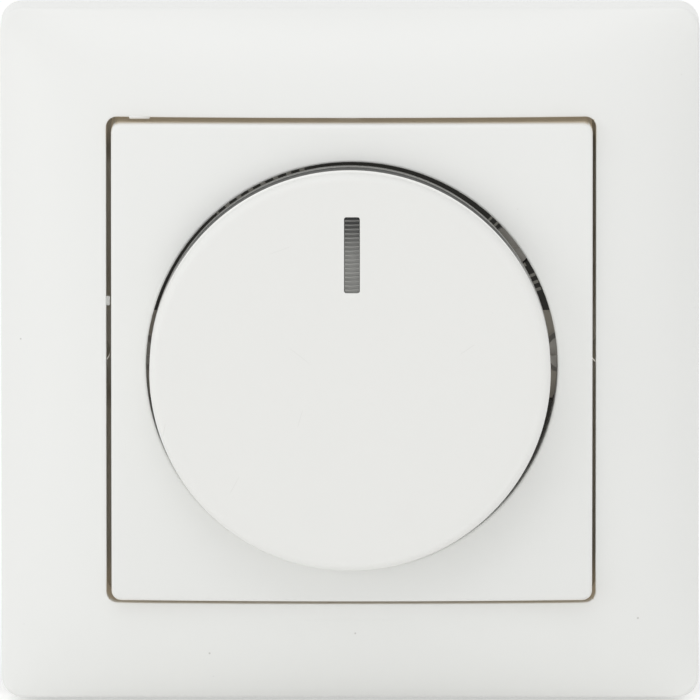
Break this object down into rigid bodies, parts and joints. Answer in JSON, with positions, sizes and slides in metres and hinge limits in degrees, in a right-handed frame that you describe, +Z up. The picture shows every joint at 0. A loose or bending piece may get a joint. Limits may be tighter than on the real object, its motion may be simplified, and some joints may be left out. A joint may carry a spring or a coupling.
{
  "type": "rotary dimmer switch",
  "caption": "Flush mounted rotary dimmer with a square cover frame, square plate and a round knob that turns and pushes.",
  "frame": {"origin": "on the control shaft's axis at the wall's surface, midway between the two wall box screws", "axes": "+Z up, +X to the right as seen from the front, the knob looks along -Y and +Y runs into the wall"},
  "size_m": [0.08, 0.0506, 0.0801],
  "materials": {
    "white_cover": "satin moulded thermoset, cream white",
    "white_knob": "satin moulded plastic, cream white",
    "smoky_lens": "smoky grey light pipe",
    "black_moulding": "black moulded plastic",
    "grey_moulding": "grey moulded plastic",
    "zinc_steel": "zinc plated sheet steel, passivated",
    "claw_steel": "zinc plated steel strip",
    "screw_steel": "bright zinc plated steel",
    "spring_steel": "bare spring steel",
    "turned_brass": "turned brass",
    "amber_laminate": "phenolic laminate",
    "board_laminate": "paper laminate circuit board",
    "ferrite": "pressed iron powder core, lacquered",
    "copper_wire": "enamelled copper wire",
    "capacitor_case": "yellow film capacitor case",
    "capacitor_sleeve": "dark blue sleeve",
    "fuse_glass": "clear glass",
    "lamp_glass": "neon lamp glass",
    "resistor_body": "lacquered resistor"
  },
  "bodies": {
    "root": {"cover_frame": "white_cover", "central_plate": "white_cover", "insert_face": "black_moulding", "support_plate": "zinc_steel", "claw_pivot_pins": "screw_steel", "housing": "black_moulding", "housing_screws": "screw_steel", "potentiometer_case": "zinc_steel", "threaded_bushing": "turned_brass", "bushing_nut": "turned_brass", "resistance_track": "amber_laminate", "switch_contacts": "turned_brass", "return_spring": "spring_steel", "circuit_board": "board_laminate", "potentiometer_pins": "screw_steel", "choke_core": "ferrite", "choke_winding": "copper_wire", "film_capacitor": "capacitor_case", "storage_capacitor": "capacitor_sleeve", "fuse_tube": "fuse_glass", "fuse_caps": "screw_steel", "fuse_clips": "turned_brass", "signal_lamp": "lamp_glass", "carbon_resistors": "resistor_body", "power_switch": "black_moulding", "power_switch_screw": "screw_steel", "terminal_block": "grey_moulding", "terminal_clamps": "turned_brass", "terminal_screws": "screw_steel"},
    "push_slider": {"switch_slider": "white_cover"},
    "knob": {"rotary_knob": "white_knob", "marker_lens": "smoky_lens", "knob_clip": "spring_steel", "control_shaft": "turned_brass"},
    "rotor": {"wiper_rotor": "amber_laminate"},
    "right_claw_screw": {"right_claw_screw": "screw_steel"},
    "left_claw_screw": {"left_claw_screw": "screw_steel"},
    "right_claw": {"right_claw": "claw_steel"},
    "left_claw": {"left_claw": "claw_steel"}
  },
  "joints": [
    {"name": "knob_push", "type": "slide", "parent": "root", "child": "push_slider", "axis": [0, 1, 0], "range_m": [0, 0.0012], "stiffness_N_per_m": 1200, "springref_m": -0.0006, "deforming": ["return_spring"]},
    {"name": "knob_turn", "type": "hinge", "parent": "push_slider", "child": "knob", "pos_m": [0, 0, 0], "axis": [0, 1, 0], "range_deg": [-145, 145]},
    {"name": "rotor_turn", "type": "hinge", "parent": "root", "child": "rotor", "pos_m": [0, 0, 0], "axis": [0, 1, 0], "range_deg": [-145, 145]},
    {"name": "right_claw_screw_turn", "type": "hinge", "parent": "root", "child": "right_claw_screw", "pos_m": [0.0246, 0, 0], "axis": [0, 1, 0], "range_deg": [0, 840]},
    {"name": "right_claw_swing", "type": "hinge", "parent": "root", "child": "right_claw", "pos_m": [0.0208, 0.0034, 0], "axis": [0, 0, -1], "range_deg": [0, 18]},
    {"name": "left_claw_screw_turn", "type": "hinge", "parent": "root", "child": "left_claw_screw", "pos_m": [-0.0246, 0, 0], "axis": [0, 1, 0], "range_deg": [0, 840]},
    {"name": "left_claw_swing", "type": "hinge", "parent": "root", "child": "left_claw", "pos_m": [-0.0208, 0.0034, 0], "axis": [0, 0, 1], "range_deg": [0, 18]}
  ],
  "couplings": [
    {"joint": "rotor_turn", "follows": "knob_turn", "ratio": 1},
    {"joint": "right_claw_screw_turn", "follows": "right_claw_swing", "ratio": 46.667},
    {"joint": "left_claw_screw_turn", "follows": "left_claw_swing", "ratio": 46.667}
  ]
}
